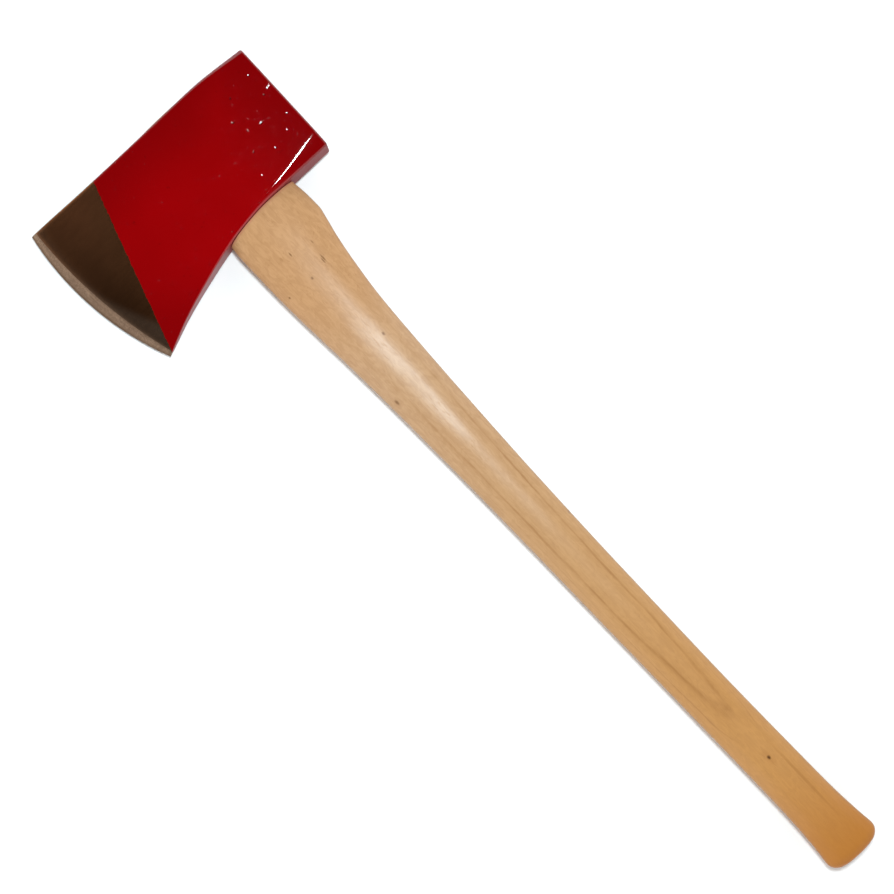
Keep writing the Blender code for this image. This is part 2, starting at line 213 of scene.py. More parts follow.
BUTT_DOME = 1.5 * MM
BUTT_ROUND_STEPS = 10
BUTT_RINGS = 6  # from the butt's centre to its rounded rim
HAFT_STEP = 3 * MM
HAFT_WAVE = 0.12 * MM  # left by the spokeshave
STAIN_REACH = 2.4 * MM  # of the red that has crept on to the wood at the head
NICK = Vector((0.395, 0.0193, 0.004))
NICK_RADIUS = 1.5 * MM
NICK_DEPTH = 0.55 * MM

# The wedges.
WOOD_WEDGE_DEPTH = 59 * MM
WOOD_WEDGE_TOP = 6.6 * MM
WOOD_WEDGE_FOOT = 1.6 * MM
WOOD_WEDGE_STEPS = 30
KERF_DEPTH = 66 * MM
KERF_FOOT = 1.6 * MM
STEEL_WEDGE_DEPTH = 25 * MM
STEEL_WEDGE_WIDTH = 17 * MM
STEEL_WEDGE_TOP = 3.0 * MM
STEEL_WEDGE_FOOT = 0.9 * MM
STEEL_WEDGE_STEPS = 3
STEEL_WEDGE_BARB = 0.25 * MM
STEEL_WEDGE_PROUD = 0.3 * MM
STEEL_WEDGE_SPACING = 27 * MM
STEEL_WEDGE_TURN = math.radians(32)
CUTTER_OVERRUN = 8 * MM

# How the axe lies.
LIE_ROLL = math.radians(5.262)
LIE_PITCH = math.radians(0.115)

# The camera looks straight at the cheek, with the haft falling to the lower right.
CAMERA_AIM = Vector((0.3029, -0.0124, 0.0))
CAMERA_DISTANCE = 1.20
CAMERA_TURN = math.radians(46.47)  # the haft falls this much below the picture's horizontal
SENSOR_WIDTH = 36.0
PICTURE_WIDTH = 0.6305  # of what the camera sees in the axe's plane of symmetry

# The key lamp, in the axe's own axes, and the room.
KEY_PLACE = Vector((0.206, 0.155, 1.28))
KEY_TARGET = Vector((0.25, 0.0, 0.0))
KEY_SIZE = 0.18
KEY_WATTS = 14.5
KEY_COLOUR = (0.84, 0.955, 1.0)
ROOM_BRIGHTNESS = 1.9
FLOOR_HALF_SIZE = 4.0
FLOOR_DROP = 0.2 * MM  # below the axe


# ---------------------------------------- curves and numbers


def curve(points):
    """A smooth function through (place, value) points, straight beyond both ends."""
    places = [place for place, _ in points]
    values = [value for _, value in points]
    secants = [(v1 - v0) / (p1 - p0) for p0, p1, v0, v1 in zip(places, places[1:], values, values[1:])]
    slopes = [secants[0]]
    for before, after in zip(secants, secants[1:]):
        slopes.append(2 * before * after / (before + after) if before * after > 0 else 0.0)
    slopes.append(secants[-1])

    def value_at(place):
        if place <= places[0]:
            return values[0] + slopes[0] * (place - places[0])
        if place >= places[-1]:
            return values[-1] + slopes[-1] * (place - places[-1])
        i = 0
        while places[i + 1] < place:
            i += 1
        span = places[i + 1] - places[i]
        t = (place - places[i]) / span
        from_left = values[i] * (1 + 2 * t) * (1 - t) ** 2 + slopes[i] * span * t * (1 - t) ** 2
        from_right = values[i + 1] * t * t * (3 - 2 * t) - slopes[i + 1] * span * t * t * (1 - t)
        return from_left + from_right

    return value_at


def held(points):
    """The same curve, held level beyond both ends."""
    value_at = curve(points)
    return lambda place: value_at(min(max(place, points[0][0]), points[-1][0]))


def mix(a, b, share):
    return a + (b - a) * share


def soft_min(a, b, reach):
    """The smaller of two values, rounded over where they are within reach of each other."""
    near = max(reach - abs(a - b), 0.0) / reach
    return min(a, b) - near * near * reach / 4


def quarter_arc(radius, steps):
    """(along, inset) points round a quarter circle, from full inset to none."""
    turns = [math.pi / 2 * i / steps for i in range(steps + 1)]
    return [(radius * (1 - math.cos(turn)), radius * (1 - math.sin(turn))) for turn in turns]


crown_x = curve(CROWN_LINE)
underside_x = curve(UNDERSIDE_LINE)
cheek_profile = curve(CHEEK_HALF)
crowning_at = held(CROWNING)
crown_bevel_width = held(CROWN_BEVEL_WIDTH)
crown_bevel_drop = held(CROWN_BEVEL_DROP)
underside_bevel_width = held(UNDERSIDE_BEVEL_WIDTH)
underside_bevel_drop = held(UNDERSIDE_BEVEL_DROP)
poll_side = held(HAFT_POLL_SIDE)
edge_side = held(HAFT_EDGE_SIDE)
haft_half_thickness = held(HAFT_HALF_THICKNESS)
haft_power = held(HAFT_POWER)


def axe_matrix():
    """From the axe's own axes to the row's frame, worked out from the poll mount."""
    turn = Euler((LIE_ROLL, LIE_PITCH, 0)).to_matrix()
    mount = next(m for m in frame["record"]["mounts"] if m["name"] == "poll_face")
    mount_here = Vector((POLL_MOUNT_X, poll_y(POLL_MOUNT_X), 0))
    return Matrix.Translation(Vector(mount["pos_m"]) - turn @ mount_here) @ turn.to_4x4()


# ---------------------------------------- meshes


def new_object(name, data):
    """An object in the scene, at the origin."""
    made = bpy.data.objects.new(name, data)
    bpy.context.scene.collection.objects.link(made)
    return made


def as_piece(name, mesh, materials):
    """A smooth-shaded object in the axe's place, made from a mesh that it uses up."""
    bmesh.ops.recalc_face_normals(mesh, faces=mesh.faces)
    data = bpy.data.meshes.new(name)
    mesh.to_mesh(data)
    mesh.free()
    for material in materials:
        data.materials.append(material)
    data.shade_smooth()
    data.set_sharp_from_angle(angle=SHARP_ANGLE)
    piece = new_object(name, data)
    piece.matrix_world = AXE
    return piece


def skin(mesh, loops):
    """Joins loops of equal length with four-sided faces, and returns their vertices."""
    rings = [[mesh.verts.new(point) for point in loop] for loop in loops]
    for ring, following in zip(rings, rings[1:]):
        for i in range(len(ring)):
            j = (i + 1) % len(ring)
            mesh.faces.new((ring[i], ring[j], following[j], following[i]))
    return rings


def solid(loops):
    """A closed mesh whose skin runs through the loops in turn."""
    mesh = bmesh.new()
    rings = skin(mesh, loops)
    mesh.faces.new(rings[0])
    mesh.faces.new(rings[-1])
    return mesh


def carve(piece, cutters, cut_material=0):
    """Cuts the cutters out of a piece for good, and removes them."""
    for cutter in cutters:
        for face in cutter.data.polygons:
            face.material_index = cut_material
        modifier = piece.modifiers.new(cutter.name, "BOOLEAN")
        modifier.operation = "DIFFERENCE"
        modifier.solver = "EXACT"
        modifier.object = cutter
    graph = bpy.context.evaluated_depsgraph_get()
    carved = bpy.data.meshes.new_from_object(piece.evaluated_get(graph))
    piece.modifiers.clear()
    piece.data = carved
    carved.name = piece.name
    carved.set_sharp_from_angle(angle=SHARP_ANGLE)
    for cutter in cutters:
        bpy.data.objects.remove(cutter)


def oval(half_y, half_z, power, sides):
    """(y, z) points round a superellipse."""
    points = []
    for i in range(sides):
        angle = 2 * math.pi * i / sides
        c, s = math.cos(angle), math.sin(angle)
        y = math.copysign(abs(c) ** (2 / power), c) * half_y
        z = math.copysign(abs(s) ** (2 / power), s) * half_z
        points.append((y, z))
    return points


# ---------------------------------------- the head


def edge_circle():
    """(centre, radius) of the cutting edge's arc, through the toe and the heel."""
    chord = HEEL - TOE
    radius = ((chord.length / 2) ** 2 + EDGE_SAGITTA**2) / (2 * EDGE_SAGITTA)
    inward = Vector((-chord.y, chord.x)).normalized()
    return (TOE + HEEL) / 2 + inward * (radius - EDGE_SAGITTA), radius


EDGE_CENTRE, EDGE_RADIUS = edge_circle()


def edge_y(x):
    return EDGE_CENTRE.y - math.sqrt(EDGE_RADIUS**2 - (x - EDGE_CENTRE.x) ** 2)


def poll_y(x):
    return POLL_Y - POLL_LEAN * x


def grind_width(x):
    across = min(max((x - TOE.x) / (HEEL.x - TOE.x), 0.0), 1.0)
    return mix(GRIND_WIDTH, GRIND_CORNER_WIDTH, (2 * across - 1) ** 2)


def head_place(across, row_y):
    """(x, y) on a row that is given as a function y(x), across of the way from the crown to the underside."""
    x, y = mix(TOE.x, HEEL.x, across), 0.0
    for _ in range(7):
        y = row_y(x)
        x = mix(crown_x(y), underside_x(y), across)
    return x, y


def cheek_half(from_crown, height, y, from_edge, x):
    """Half the head's thickness at from_crown along a section of that height, without its rounded rims."""
    crown_bevel, underside_bevel = crown_bevel_width(y), underside_bevel_width(y)
    share = (from_crown - crown_bevel) / (height - crown_bevel - underside_bevel)
    bow = (2 * min(max(share, 0.0), 1.0) - 1) ** 2

    def cheek(distance, bow):
        return cheek_profile(distance) * (1 - crowning_at(distance) * bow)

    rim = cheek(from_edge, 1.0)
    drops = (min(crown_bevel_drop(y), 0.4 * rim), min(underside_bevel_drop(y), 0.4 * rim))
    crown_facet = rim + drops[0] * (from_crown / crown_bevel - 1)
    underside_facet = rim + drops[1] * ((height - from_crown) / underside_bevel - 1)
    half = soft_min(cheek(from_edge, bow), crown_facet, CREASE_BLEND)
    half = soft_min(half, underside_facet, CREASE_BLEND)
    width = grind_width(x)
    grind = EDGE_HALF + (cheek(width, bow) - EDGE_HALF) * from_edge / width
    return soft_min(half, grind, GRIND_BLEND)


ARC_STEPS = 4
CHEEK_COLUMNS = 54
STRIP_COLUMNS = 10
CREASE_OFFSETS = (-1.0, -0.5, 0.0, 0.5, 1.0)


def section_stops(height, y, rim_half, inset):
    """(distance from the crown, drop) of every column of a section: rims, facets, creases and cheek."""
    stops = []
    for width, far_end in ((crown_bevel_width(y), False), (underside_bevel_width(y), True)):
        arc_radius = min(RIM_ROUND, 0.4 * width, 0.4 * rim_half)
        spread = min(0.7 * MM, 0.3 * width)
        side = quarter_arc(arc_radius, ARC_STEPS)
        side.append((mix(arc_radius, width - spread, 0.5), 0.0))
        side += [(width + spread * offset, 0.0) for offset in CREASE_OFFSETS]
        side = [(max(along, inset), drop) for along, drop in side]
        stops.append([(height - along, drop) for along, drop in side[::-1]] if far_end else side)
    start, end = stops[0][-1][0], stops[1][0][0]
    between = [(mix(start, end, i / CHEEK_COLUMNS), 0.0) for i in range(1, CHEEK_COLUMNS)]
    return stops[0] + between + stops[1]


def head_loop(row_y, inset):
    """One loop round the head: the near cheek, the underside, the far cheek and the crown."""
    typical_x, typical_y = head_place(0.5, row_y)
    height = underside_x(typical_y) - crown_x(typical_y)
    rim_half = cheek_half(0.0, height, typical_y, typical_y - edge_y(typical_x), typical_x)
    near = []
    for from_crown, drop in section_stops(height, typical_y, rim_half, inset):
        x, y = head_place(from_crown / height, row_y)
        half = cheek_half(from_crown, height, y, y - edge_y(x), x)
        near.append(Vector((x, y, half - drop - inset)))
    far = [Vector((p.x, p.y, -p.z)) for p in near][::-1]
    return near + strip_between(near[-1], far[0]) + far + strip_between(far[-1], near[0])


def strip_between(a, b):
    return [a.lerp(b, i / STRIP_COLUMNS) for i in range(1, STRIP_COLUMNS)]


def head_rows():
    """(y as a function of x, inset) of every loop, from the cutting edge to the poll's face."""

    def shoulder_y(x):
        return edge_y(x) + grind_width(x)

    rows = []
    for share in (0.0, 0.25, 0.5, 0.75, 0.92):
        rows.append((lambda x, f=share: mix(edge_y(x), shoulder_y(x), f), 0.0))
    for i in range(HEAD_ROWS + 1):
        share = i / HEAD_ROWS
        rows.append((lambda x, f=share: mix(shoulder_y(x), poll_y(x) - POLL_ROUND, f), 0.0))
    for along, inset in quarter_arc(POLL_ROUND, POLL_ROUND_STEPS)[::-1][1:]:
        rows.append((lambda x, a=along: poll_y(x) - a, inset))
    return rows


def cap_grid(mesh, ring, columns):
    """Closes a head loop with a grid: ring is a near run, a strip, a far run and a strip."""
    near = ring[:columns]
    after = ring[columns : columns + STRIP_COLUMNS - 1]
    far = ring[columns + STRIP_COLUMNS - 1 : 2 * columns + STRIP_COLUMNS - 1][::-1]
    before = ring[2 * columns + STRIP_COLUMNS - 1 :][::-1]
    lines = [near]
    for i in range(1, STRIP_COLUMNS):
        line = [before[i - 1]]
        for a, b in zip(near[1:-1], far[1:-1]):
            line.append(mesh.verts.new(a.co.lerp(b.co, i / STRIP_COLUMNS)))
        line.append(after[i - 1])
        lines.append(line)
    lines.append(far)
    for line, following in zip(lines, lines[1:]):
        for i in range(len(line) - 1):
            mesh.faces.new((line[i], line[i + 1], following[i + 1], following[i]))


def refine_marked_cheek(mesh):
    """Splits the faces round the spots on the upper cheek, so that each spot has a shape."""
    spots = [nick[:3] for nick in NICKS] + [blob[:3] for blob in BLOBS]
    chosen = set()
    for face in mesh.faces:
        centre = face.calc_center_median()
        if centre.z > 2 * MM:
            for x, y, radius in spots:
                if math.hypot(centre.x - x, centre.y - y) < SPOT_REACH * radius + SPOT_MARGIN:
                    chosen.add(face)
    edges = {edge for face in chosen for edge in face.edges}
    bmesh.ops.subdivide_edges(mesh, edges=list(edges), cuts=4, use_grid_fill=True)


def roughen_head(mesh):
    """Waves the cheeks a little and adds the nicks and blobs, leaving the outline and the grind alone.

    A share per vertex keeps how deep in a nick it is.
    """
    nick_share = mesh.verts.layers.float.new("nick")
    wave_start, wave_reach = FORGED_WAVE_RISE
    for vertex in mesh.verts:
        x, y, z = vertex.co
        from_rim = min(x - crown_x(y), underside_x(y) - x)
        fade = min(max(from_rim / FORGED_WAVE_FADE, 0.0), 1.0)
        fade *= min(max((y - wave_start) / wave_reach, 0.0), 1.0)
        fade *= min(max((POLL_Y - 3 * MM - y) / FORGED_WAVE_FADE, 0.0), 1.0)
        side = math.copysign(1.0, z)
        if abs(z) > 2 * MM:
            wave = noise.noise(Vector((x, y, side)) * FORGED_WAVES_PER_METRE)
            vertex.co.z += side * fade * wave * FORGED_WAVE
        if z > 2 * MM:
            for nick_x, nick_y, half_length, half_width, turn, depth in NICKS:
                c, s = math.cos(math.radians(turn)), math.sin(math.radians(turn))
                along = (x - nick_x) * c + (y - nick_y) * s
                across = (y - nick_y) * c - (x - nick_x) * s
                share = math.exp(-((along / half_length) ** 2) - (across / half_width) ** 2)
                vertex.co.z -= depth * share
                vertex[nick_share] = max(vertex[nick_share], share)
            for blob_x, blob_y, radius, height in BLOBS:
                away = math.hypot(x - blob_x, y - blob_y) / radius
                vertex.co.z += height * math.exp(-(away**2))


def paint_side(point):
    """How far a point is on the painted side of the paint line."""
    start, end = PAINT_LINE
    along = (end - start).normalized()
    return along.x * (point.y - start.y) - along.y * (point.x - start.x)


def eye_size(x):
    """(half length, half width) of the eye at x, which goes on widening past the crown."""
    share = x / underside_x(EYE_Y)
    return mix(*EYE_HALF_LENGTH, share), mix(*EYE_HALF_WIDTH, share)


def eye_loop(x_of, gap, sides=EYE_SIDES):
    """A loop round the eye's wall, gap inside it, where x is a function of y."""
    half_length, half_width = eye_size(x_of(EYE_Y))
    ring = oval(half_length - gap, half_width - gap, EYE_POWER, sides)
    return [Vector((x_of(EYE_Y + y), EYE_Y + y, z)) for y, z in ring]


def eye_cutter():
    """The eye, with its mouth eased where it meets the crown."""
    loops = [
        eye_loop(lambda y: crown_x(y) - EYE_OVERRUN, -EYE_LIP),
        eye_loop(lambda y: crown_x(y) - EYE_LIP, -2 * EYE_LIP),
        eye_loop(lambda y: crown_x(y) + EYE_LIP, 0.0),
        eye_loop(lambda y: crown_x(y) + 30 * MM, 0.0),
        eye_loop(lambda y: underside_x(y) + EYE_OVERRUN, 0.0),
    ]
    return as_piece("eye_cutter", solid(loops), [])


def make_head(paint, cheek_steel, ground_steel):
    mesh = bmesh.new()
    loops = [head_loop(row_y, inset) for row_y, inset in head_rows()]
    rings = skin(mesh, loops)
    columns = (len(loops[0]) - 2 * (STRIP_COLUMNS - 1)) // 2
    cap_grid(mesh, rings[0], columns)
    cap_grid(mesh, rings[-1], columns)
    refine_marked_cheek(mesh)
    roughen_head(mesh)
    start, end = PAINT_LINE
    across_line = Vector((start.y - end.y, end.x - start.x, 0))
    everything = mesh.verts[:] + mesh.edges[:] + mesh.faces[:]
    bmesh.ops.bisect_plane(mesh, geom=everything, plane_co=start.to_3d(), plane_no=across_line, dist=1e-6)
    for face in mesh.faces:
        centre = face.calc_center_median()
        if paint_side(centre) < 0:
            face.material_index = 2 if centre.y - edge_y(centre.x) < grind_width(centre.x) else 1
    head = as_piece("forged_head", mesh, [paint, cheek_steel, ground_steel])
    carve(head, [eye_cutter()], cut_material=1)
    return head


# ---------------------------------------- the haft


def shaft_loop(x, seat=None, inset=0.0):
    """A loop round the haft at x. With seat, each point lies along it as a function seat(y)."""
    centre = (poll_side(x) + edge_side(x)) / 2
    half_y = (poll_side(x) - edge_side(x)) / 2 - inset
    half_z = haft_half_thickness(x) - inset
    loop = []
    for y, z in oval(half_y, half_z, haft_power(x), HAFT_SIDES):
        loop.append(Vector((seat(centre + y) if seat else x, centre + y, z)))
    return loop


def haft_stations(start, end):
    """Where the loops go: close together at the shoulder and at the nick, and evenly elsewhere."""
    stations = [start + step * MM for step in (0.15, 0.5, 1.0, 1.6, 2.4, 3.4, 4.6, 6.0, 7.6, 9.4)]
    while stations[-1] < end - HAFT_STEP:
        near_nick = abs(stations[-1] - NICK.x) < 6 * MM
        near_corner = stations[-1] < start + 45 * MM
        stations.append(stations[-1] + (0.6 * MM if near_nick else 1.8 * MM if near_corner else HAFT_STEP))
    return stations


def haft_loops():
    def sawn_top(y):
        return crown_x(y) - TONGUE_PROUD

    def bearing(y):
        return underside_x(y) + FIT_GAP

    def eased_top(y):
        return sawn_top(y) + TONGUE_EASE

    loops = [eye_loop(sawn_top, FIT_GAP + TONGUE_EASE, HAFT_SIDES)]
    loops.append(eye_loop(eased_top, FIT_GAP, HAFT_SIDES))
    for i in range(1, TONGUE_STEPS + 1):
        share = i / TONGUE_STEPS
        loops.append(eye_loop(lambda y, s=share: mix(eased_top(y), bearing(y), s), FIT_GAP, HAFT_SIDES))
    shoulder_x = bearing(EYE_Y)
    loops.append(shaft_loop(shoulder_x, bearing, 0.4 * MM))
    butt_start = BUTT_X - BUTT_DOME - BUTT_ROUND
    for x in haft_stations(shoulder_x, butt_start):
        settled = min((x - shoulder_x) / SHOULDER_SETTLE, 1.0)
        moved = x - shoulder_x
        inset = max(0.25 * MM - moved, 0.0)
        loops.append(shaft_loop(x, lambda y, x=x, w=settled, m=moved: mix(bearing(y) + m, x, w), inset))
    for along, inset in quarter_arc(BUTT_ROUND, BUTT_ROUND_STEPS)[::-1]:
        loops.append(shaft_loop(butt_start + BUTT_ROUND - along, inset=inset))
    rim = shaft_loop(BUTT_X - BUTT_DOME, inset=BUTT_ROUND)
    centre = (poll_side(BUTT_X) + edge_side(BUTT_X)) / 2
    for i in range(BUTT_RINGS - 1, 0, -1):
        reach = i / BUTT_RINGS
        x = BUTT_X - BUTT_DOME * reach**2
        loops.append([Vector((x, centre + (p.y - centre) * reach, p.z * reach)) for p in rim])
    return loops


def roughen_haft(mesh):
    """Leaves the faint unevenness of hand work, and the nick on the poll side."""
    for vertex in mesh.verts:
        point = vertex.co
        if point.x < underside_x(point.y) + 3 * MM:
            continue
        outward = Vector((0, point.y, point.z * 2)).normalized()
        wave = noise.noise(Vector((point.x * 18, point.y * 50, point.z * 50)))
        fade = min(max((BUTT_X - point.x) / (12 * MM), 0.0), 1.0)
        dent = NICK_DEPTH * math.exp(-(((point - NICK).length / NICK_RADIUS) ** 2))
        vertex.co -= outward * (HAFT_WAVE * (0.5 - 0.5 * wave) * fade + dent)


def mark_stain(piece):
    """A share per vertex of how red the wood is where the head's paint has run on to it."""
    stain = piece.data.attributes.new("paint_stain", "FLOAT", "POINT")
    for vertex, share in zip(piece.data.vertices, stain.data):
        past_head = vertex.co.x - underside_x(vertex.co.y)
        share.value = min(max(1 - past_head / STAIN_REACH, 0.0), 1.0)


def tapered_plate(name, top_x, depth, top, foot, half_reach):
    """A cutter tapered along x from top to foot thickness, its ends at y = -half_reach and half_reach."""
    loops = []
    for y in (-half_reach, half_reach):
        corners = [(top_x, top / 2), (top_x + depth, foot / 2), (top_x + depth, -foot / 2), (top_x, -top / 2)]
        loops.append([Vector((x, y, z)) for x, z in corners])
    return as_piece(name, solid(loops), [])


def place(piece, y, turn=0.0):
    """Shifts a piece along y and turns it about the haft's axis."""
    piece.matrix_world = AXE @ Matrix.Translation((0, y, 0)) @ Matrix.Rotation(turn, 4, "X")
    return piece


def wood_top_x():
    return crown_x(EYE_Y) - TONGUE_PROUD


def kerf_cutters():
    taper = (WOOD_WEDGE_TOP - WOOD_WEDGE_FOOT) / WOOD_WEDGE_DEPTH
    top_x = wood_top_x() - CUTTER_OVERRUN
    depth = WOOD_WEDGE_DEPTH + CUTTER_OVERRUN + FIT_GAP
    top = WOOD_WEDGE_TOP + taper * CUTTER_OVERRUN + 2 * FIT_GAP
    reach = EYE_HALF_LENGTH[0] + CUTTER_OVERRUN
    wide = tapered_plate("kerf", top_x, depth, top, WOOD_WEDGE_FOOT + 2 * FIT_GAP, reach)
    slot = tapered_plate("kerf_slot", top_x, KERF_DEPTH + CUTTER_OVERRUN, KERF_FOOT, KERF_FOOT, reach)
    return [place(wide, EYE_Y), place(slot, EYE_Y)]


def steel_slot(y):
    taper = (STEEL_WEDGE_TOP - STEEL_WEDGE_FOOT) / STEEL_WEDGE_DEPTH
    cutter = tapered_plate(
        "steel_slot",
        wood_top_x() - STEEL_WEDGE_PROUD - CUTTER_OVERRUN,
        STEEL_WEDGE_DEPTH + CUTTER_OVERRUN + FIT_GAP,
        STEEL_WEDGE_TOP + taper * CUTTER_OVERRUN + 2 * FIT_GAP,
        STEEL_WEDGE_FOOT + 2 * FIT_GAP,
        STEEL_WEDGE_WIDTH / 2 + FIT_GAP,
    )
    return place(cutter, y, WEDGE_TURN)


def make_haft(wood):
    mesh = solid(haft_loops())
    roughen_haft(mesh)
    haft = as_piece("hickory_haft", mesh, [wood])
    carve(haft, kerf_cutters() + [steel_slot(y) for y in WEDGE_PLACES])
    mark_stain(haft)
    return haft


# ---------------------------------------- the wedges


def make_wood_wedge(wood):
    """Sawn off level with the tongue, a little crushed where it was driven."""
    half_y, half_z = eye_size(wood_top_x())
    chord = (1 - (WOOD_WEDGE_TOP / 2 / half_z) ** EYE_POWER) ** (1 / EYE_POWER)
    foot_x = wood_top_x() + WOOD_WEDGE_DEPTH
    top_reach, foot_reach = half_y * chord - FIT_GAP, eye_size(foot_x)[0] - 2 * FIT_GAP
    loops = []
    for i in range(WOOD_WEDGE_STEPS + 1):
        share = i / WOOD_WEDGE_STEPS
        reach = mix(top_reach, foot_reach, share)
        half = mix(WOOD_WEDGE_TOP, WOOD_WEDGE_FOOT, share) / 2
        eased = 0.25 * MM if i == 0 else 0.0
        loop = []
        for y, z in oval(reach - eased, half - eased, 14, 64):
            crushed = 0.12 * MM * (1 + noise.noise(Vector((y * 300, z * 500, 3)))) if i == 0 else 0.0
            loop.append(Vector((mix(wood_top_x(), foot_x, share) + crushed, y, z)))
        loops.append(loop)
    wedge = place(as_piece("sawn_wood_wedge", solid(loops), [wood]), EYE_Y)
    carve(wedge, [steel_slot(y) for y in WEDGE_PLACES])
    return wedge


def make_steel_wedge(name, y, steel):
    """Barbed, and mushroomed at the top by the hammer."""
    top_x, lip = wood_top_x() - STEEL_WEDGE_PROUD, 0.15 * MM
    stations = [(top_x, STEEL_WEDGE_TOP / 2 - 0.5 * MM), (top_x + 0.35 * MM, STEEL_WEDGE_TOP / 2)]
    for i in range(STEEL_WEDGE_STEPS):
        upper, lower = i / STEEL_WEDGE_STEPS, (i + 1) / STEEL_WEDGE_STEPS
        step_top = mix(STEEL_WEDGE_TOP, STEEL_WEDGE_FOOT, upper) / 2 - STEEL_WEDGE_BARB
        step_foot = mix(STEEL_WEDGE_TOP, STEEL_WEDGE_FOOT, lower) / 2
        stations.append((top_x + STEEL_WEDGE_DEPTH * upper + (1.1 if i == 0 else 0.15) * MM, step_top))
        stations.append((top_x + STEEL_WEDGE_DEPTH * lower - lip, step_foot))
        stations.append((top_x + STEEL_WEDGE_DEPTH * lower, step_foot - lip / 2))
    loops = []
    for i, (x, half) in enumerate(stations):
        reach = STEEL_WEDGE_WIDTH / 2 - (0.5 * MM if i == 0 else 0.0)
        loop = []
        for across, z in oval(reach, half, 12, 56):
            beaten = 0.14 * MM * noise.noise(Vector((across * 450, z * 450, y * 900))) if i == 0 else 0.0
            loop.append(Vector((x + beaten + (0.15 * MM if i == 0 else 0.0), across, z)))
        loops.append(loop)
    return place(as_piece(name, solid(loops), [steel]), y, WEDGE_TURN)


# ---------------------------------------- materials


def fill_ramp(node, stops):
    """Gives a colour ramp a colour, or a grey, at each of several places from 0 to 1."""
    elements = node.color_ramp.elements
    while len(elements) < len(stops):
        elements.new(0.5)
    for element, (at, colour) in zip(elements, stops):
        element.position = at
        element.color = (*colour, 1) if isinstance(colour, tuple) else (colour, colour, colour, 1)


class Finish:
    """A node material, added to one node at a time."""

    def __init__(self, name):
        self.material = bpy.data.materials.new(name)
        self.material.use_nodes = True
        self.nodes = self.material.node_tree.nodes
        self.links = self.material.node_tree.links
        self.surface = self.nodes["Principled BSDF"]
        lie = {"Vector": self.add("TexCoord").outputs["Object"]}
        lie["Location"] = AXE.translation
        lie["Rotation"] = AXE.to_euler()
        self.place = self.add("Mapping", lie, vector_type="TEXTURE").outputs[0]  # in the axe's own axes
        self.axes = self.add("SeparateXYZ", {"Vector": self.place}).outputs

    def feed(self, socket, value):
        if isinstance(value, bpy.types.NodeSocket):
            self.links.new(value, socket)
        else:
            socket.default_value = value

    def add(self, kind, inputs=None, **settings):
        node = self.nodes.new("ShaderNode" + kind)
        for name, value in settings.items():
            setattr(node, name, value)
        for name, value in (inputs or {}).items():
            self.feed(node.inputs[name], value)
        return node

    def math(self, operation, a, b=0.0, c=0.0):
        node = self.add("Math", {0: a, 1: b, 2: c}, operation=operation)
        return node.outputs[0]

    def stretch(self, scale):
        """The place, squeezed by a factor along each axis."""
        return self.add("Mapping", {"Vector": self.place, "Scale": scale}).outputs[0]

    def noise(self, scale, detail=3.0, roughness=0.55, vector=None, distortion=0.0):
        wanted = {"Scale": scale, "Detail": detail, "Roughness": roughness, "Distortion": distortion}
        wanted["Vector"] = vector or self.place
        return self.add("TexNoise", wanted).outputs["Fac"]

    def fit(self, value, low, high, to_low=0.0, to_high=1.0):
        """Value, taken from one range to another, smoothly and no further."""
        wanted = {"Value": value, "From Min": low, "From Max": high, "To Min": to_low, "To Max": to_high}
        return self.add("MapRange", wanted, interpolation_type="SMOOTHSTEP").outputs[0]

    def ramp(self, value, stops):
        node = self.add("ValToRGB", {"Fac": value})
        fill_ramp(node, stops)
        return node.outputs["Color"]

    def blend(self, share, a, b, mode="MIX"):
        node = self.add("Mix", {0: share}, data_type="RGBA", blend_type=mode)
        for index, value in ((6, a), (7, b)):
            self.feed(node.inputs[index], (*value, 1) if isinstance(value, tuple) else value)
        return node.outputs[2]

    def spot(self, centre, radii, ragged=0.0):
        """1 in the middle of an ellipsoid, falling softly to 0 about its skin."""
        wanted = {"Vector": self.place, "Location": centre, "Scale": radii}
        inner = self.add("Mapping", wanted, vector_type="TEXTURE")
        length = self.add("VectorMath", {0: inner.outputs[0]}, operation="LENGTH").outputs["Value"]
        if ragged:
            length = self.math("MULTIPLY_ADD", self.noise(1800.0, 2.0), ragged, length)
        return self.fit(length, 0.45, 1.1, 1.0, 0.0)

    def steepness(self, level, steep):
        """0 on faces square to the axe's z axis, 1 on its sides."""
        normal = self.add("NewGeometry").outputs["Normal"]
        upright = AXE.to_3x3() @ Vector((0, 0, 1))
        facing = self.add("VectorMath", {0: normal, 1: upright}, operation="DOT_PRODUCT").outputs["Value"]
        return self.fit(self.math("ABSOLUTE", facing), steep, level, 1.0, 0.0)

    def bump(self, height, distance, before=None):
        wanted = {"Height": height, "Distance": distance, "Strength": 1.0}
        node = self.add("Bump", wanted)
        if before:
            self.links.new(before, node.inputs["Normal"])
        return node.outputs[0]

    def finish(self, colour, roughness, normal=None, metallic=0.0):
        self.feed(self.surface.inputs["Base Color"], colour)
        self.feed(self.surface.inputs["Roughness"], roughness)
        self.feed(self.surface.inputs["Metallic"], metallic)
        if normal:
            self.feed(self.surface.inputs["Normal"], normal)
        return self.material


